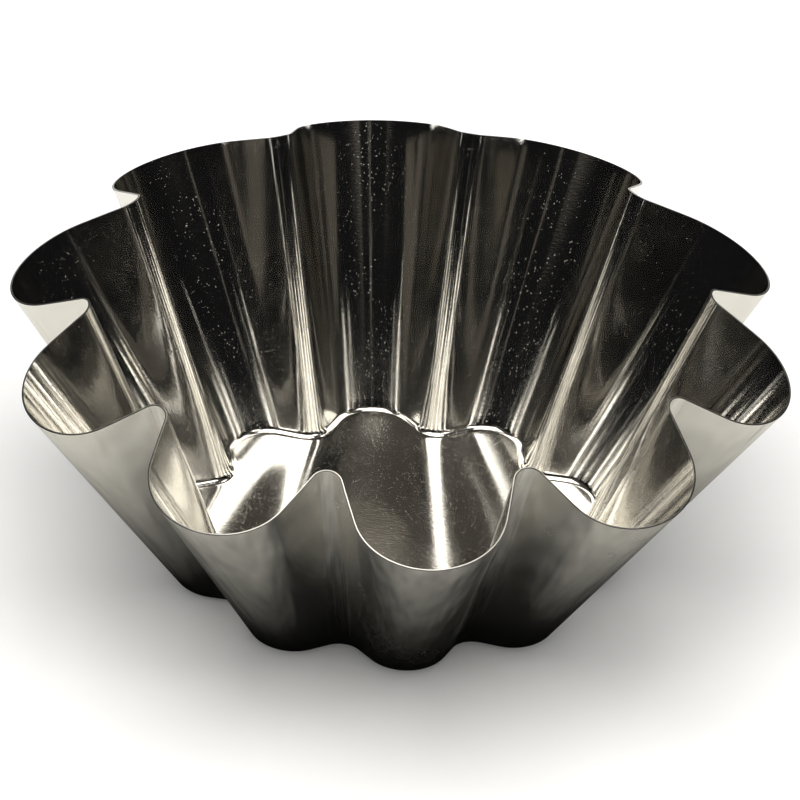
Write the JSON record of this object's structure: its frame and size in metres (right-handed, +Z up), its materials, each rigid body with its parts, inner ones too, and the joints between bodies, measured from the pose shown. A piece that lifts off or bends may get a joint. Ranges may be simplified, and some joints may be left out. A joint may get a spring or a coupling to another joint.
{
  "type": "brioche mould",
  "caption": "Fluted brioche mould drawn in one piece from thin tinned steel, with a flat lobed base, a flaring scalloped wall and a plain cut wavy rim.",
  "frame": {"origin": "centre of the mould's base, on the plane it rests on", "axes": "+Z up along the mould's axis, +X through the middle of a lobe"},
  "size_m": [0.2, 0.1926, 0.0743],
  "materials": {
    "tinplate": "bright tinned, lightly drawn grain"
  },
  "bodies": {
    "root": {"fluted_shell": "tinplate"}
  },
  "joints": []
}
